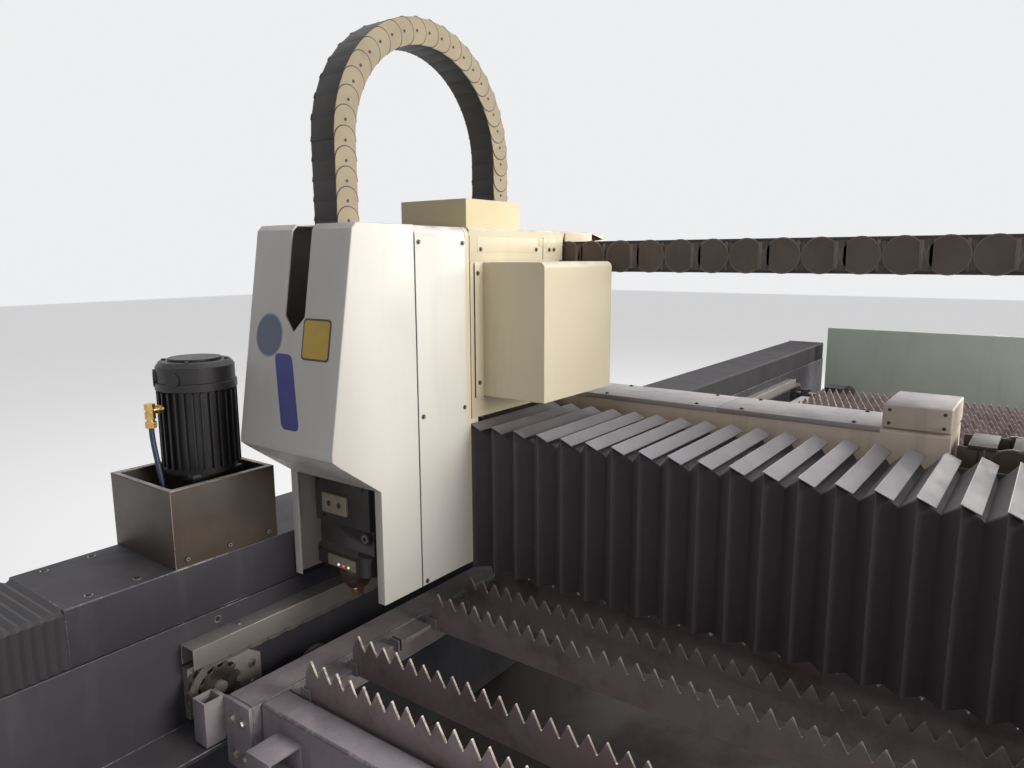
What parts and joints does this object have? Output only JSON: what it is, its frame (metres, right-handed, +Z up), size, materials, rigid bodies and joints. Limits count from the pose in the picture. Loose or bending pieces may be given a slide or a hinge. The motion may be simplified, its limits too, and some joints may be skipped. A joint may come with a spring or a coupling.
{
  "type": "fiber laser cutting machine",
  "caption": "Open flatbed fiber laser cutter with a bellows-covered gantry, arched cable chain, cutting head, slat table and shuttle pallet.",
  "frame": {"origin": "on the floor under the middle of the machine", "axes": "+X along the bed, away from the pallet's exit; +Y along the gantry to the side where the head is parked; +Z up"},
  "size_m": [6, 3.24, 2.2163],
  "materials": {
    "bed_paint": "semi-matt dark blue-grey paint",
    "cover_paint": "fine-textured off-white powder coat",
    "bellows_cloth": "coated bellows cloth, matt black",
    "duct_paint": "beige powder coat",
    "pallet_paint": "worn grey paint",
    "slat_steel": "scorched mild steel",
    "guard_steel": "dull olive-grey sheet",
    "bare_steel": "ground and oiled",
    "chain_steel": "oily roller chain",
    "motor_black": "satin black",
    "box_paint": "brown-grey sheet",
    "chain_beige": "beige polymer link plates",
    "chain_brown": "dark brown-grey polymer link plates",
    "panel_grey": "grey-green sheet",
    "head_charcoal": "black anodised",
    "drawer_beige": "pale anodised",
    "nozzle_copper": "turned copper",
    "skirt_brown": "heat-tinted steel",
    "brass": "turned brass",
    "hose_blue": "dark blue hose",
    "wheel_steel": "machined cast iron",
    "tray_steel": "plain sheet steel"
  },
  "bodies": {
    "bed": {"bed_frame": "bed_paint", "end_panel": "panel_grey", "scrap_tray_front": "tray_steel", "scrap_tray_rear": "tray_steel", "x_bellows_rear_far": "bellows_cloth", "x_bellows_front_far": "bellows_cloth", "x_bellows_rear_near": "bellows_cloth", "x_bellows_front_near": "bellows_cloth", "chain_guard_far": "guard_steel", "chain_guard_near": "guard_steel", "drive_chain_far": "chain_steel", "drive_chain_near": "chain_steel", "sprocket_bracket_far": "guard_steel", "sprocket_bracket_near": "guard_steel", "pallet_drive_motor": "motor_black"},
    "idler_sprocket_far": {"idler_sprocket_far": "bare_steel"},
    "idler_sprocket_near": {"idler_sprocket_near": "bare_steel"},
    "drive_shaft": {"drive_shaft": "bare_steel"},
    "pallet": {"pallet_frame": "pallet_paint", "slat_grid": "slat_steel"},
    "wheel_front_far": {"pallet_wheel_front_far": "wheel_steel"},
    "wheel_front_near": {"pallet_wheel_front_near": "wheel_steel"},
    "wheel_rear_far": {"pallet_wheel_rear_far": "wheel_steel"},
    "wheel_rear_near": {"pallet_wheel_rear_near": "wheel_steel"},
    "gantry": {"gantry_beam": "bed_paint", "saddle_far": "bed_paint", "saddle_near": "bed_paint", "motor_guard_far": "box_paint", "motor_guard_near": "box_paint", "x_motor_far": "motor_black", "x_motor_near": "motor_black", "y_rail_lower": "bare_steel", "y_rail_upper": "bare_steel", "y_bellows_near": "bellows_cloth", "y_bellows_far": "bellows_cloth", "rear_carrier": "bed_paint", "cable_duct": "duct_paint", "duct_end_box": "duct_paint", "chain_tray": "guard_steel", "y_cable_chain": "chain_brown", "air_fitting": "brass", "air_hose": "hose_blue"},
    "x_pinion_far": {"x_pinion_far": "bare_steel"},
    "x_pinion_near": {"x_pinion_near": "bare_steel"},
    "carriage": {"cover_front": "cover_paint", "cover_rear": "cover_paint", "top_arm": "cover_paint", "chain_box": "duct_paint", "side_box": "cover_paint", "carriage_plate": "bare_steel", "y_gear_motor": "motor_black", "z_motor": "motor_black"},
    "y_pinion": {"y_pinion": "bare_steel"},
    "z_ball_screw": {"z_ball_screw": "bare_steel"},
    "z_chain": {"arch_cable_chain": "chain_beige"},
    "head": {"z_plate": "bare_steel", "head_housing": "head_charcoal", "lens_drawer": "drawer_beige", "sensor_skirt": "skirt_brown", "nozzle": "nozzle_copper"}
  },
  "joints": [
    {"name": "x_axis", "type": "slide", "parent": "bed", "child": "gantry", "axis": [1, 0, 0], "range_m": [0, 3.8], "deforming": ["x_bellows_rear_far", "x_bellows_front_far", "x_bellows_rear_near", "x_bellows_front_near"]},
    {"name": "y_axis", "type": "slide", "parent": "gantry", "child": "carriage", "axis": [0, 1, 0], "range_m": [-2.1, 0], "deforming": ["y_bellows_near", "y_bellows_far", "y_cable_chain"]},
    {"name": "z_axis", "type": "slide", "parent": "carriage", "child": "head", "axis": [0, 0, 1], "range_m": [-0.02, 0.1]},
    {"name": "z_chain_lift", "type": "slide", "parent": "carriage", "child": "z_chain", "axis": [0, 0, 1], "range_m": [-0.01, 0.05]},
    {"name": "pallet_slide", "type": "slide", "parent": "bed", "child": "pallet", "axis": [1, 0, 0], "range_m": [-3.9, 0]},
    {"name": "x_pinion_far_spin", "type": "hinge", "parent": "gantry", "child": "x_pinion_far", "pos_m": [-2.2275, 1.452, 0.86], "axis": [0, 0, 1], "range_deg": [-6804, 0]},
    {"name": "x_pinion_near_spin", "type": "hinge", "parent": "gantry", "child": "x_pinion_near", "pos_m": [-2.2275, -1.452, 0.86], "axis": [0, 0, 1], "range_deg": [0, 6804]},
    {"name": "y_pinion_spin", "type": "hinge", "parent": "carriage", "child": "y_pinion", "pos_m": [-1.52675, 1.1495, 1.16], "axis": [0, 0, 1], "range_deg": [-4457, 0]},
    {"name": "z_screw_spin", "type": "hinge", "parent": "carriage", "child": "z_ball_screw", "pos_m": [-1.7725, 1.1495, 1.2], "axis": [0, 0, 1], "range_deg": [-721, 3601]},
    {"name": "idler_far_spin", "type": "hinge", "parent": "bed", "child": "idler_sprocket_far", "pos_m": [-2.332, 1.28, 0.688], "axis": [0, 1, 0], "range_deg": [-4063, 0]},
    {"name": "idler_near_spin", "type": "hinge", "parent": "bed", "child": "idler_sprocket_near", "pos_m": [-2.332, -1.28, 0.688], "axis": [0, 1, 0], "range_deg": [-4063, 0]},
    {"name": "drive_shaft_spin", "type": "hinge", "parent": "bed", "child": "drive_shaft", "pos_m": [2.2, 0, 0.688], "axis": [0, 1, 0], "range_deg": [-4063, 0]},
    {"name": "wheel_front_far_roll", "type": "hinge", "parent": "pallet", "child": "wheel_front_far", "pos_m": [-2.1, 1.212, 0.655], "axis": [0, 1, 0], "range_deg": [-4966, 0]},
    {"name": "wheel_front_near_roll", "type": "hinge", "parent": "pallet", "child": "wheel_front_near", "pos_m": [-2.1, -1.212, 0.655], "axis": [0, 1, 0], "range_deg": [-4966, 0]},
    {"name": "wheel_rear_far_roll", "type": "hinge", "parent": "pallet", "child": "wheel_rear_far", "pos_m": [1.7, 1.212, 0.655], "axis": [0, 1, 0], "range_deg": [-4966, 0]},
    {"name": "wheel_rear_near_roll", "type": "hinge", "parent": "pallet", "child": "wheel_rear_near", "pos_m": [1.7, -1.212, 0.655], "axis": [0, 1, 0], "range_deg": [-4966, 0]}
  ],
  "couplings": [
    {"joint": "z_chain_lift", "follows": "z_axis", "ratio": 0.5},
    {"joint": "x_pinion_far_spin", "follows": "x_axis", "rad_per_m": -31.25},
    {"joint": "x_pinion_near_spin", "follows": "x_axis", "rad_per_m": 31.25},
    {"joint": "y_pinion_spin", "follows": "y_axis", "rad_per_m": 37.037},
    {"joint": "z_screw_spin", "follows": "z_axis", "rad_per_m": 628.32},
    {"joint": "idler_far_spin", "follows": "pallet_slide", "rad_per_m": 18.182},
    {"joint": "idler_near_spin", "follows": "pallet_slide", "rad_per_m": 18.182},
    {"joint": "drive_shaft_spin", "follows": "pallet_slide", "rad_per_m": 18.182},
    {"joint": "wheel_front_far_roll", "follows": "pallet_slide", "rad_per_m": 22.222},
    {"joint": "wheel_front_near_roll", "follows": "pallet_slide", "rad_per_m": 22.222},
    {"joint": "wheel_rear_far_roll", "follows": "pallet_slide", "rad_per_m": 22.222},
    {"joint": "wheel_rear_near_roll", "follows": "pallet_slide", "rad_per_m": 22.222}
  ]
}
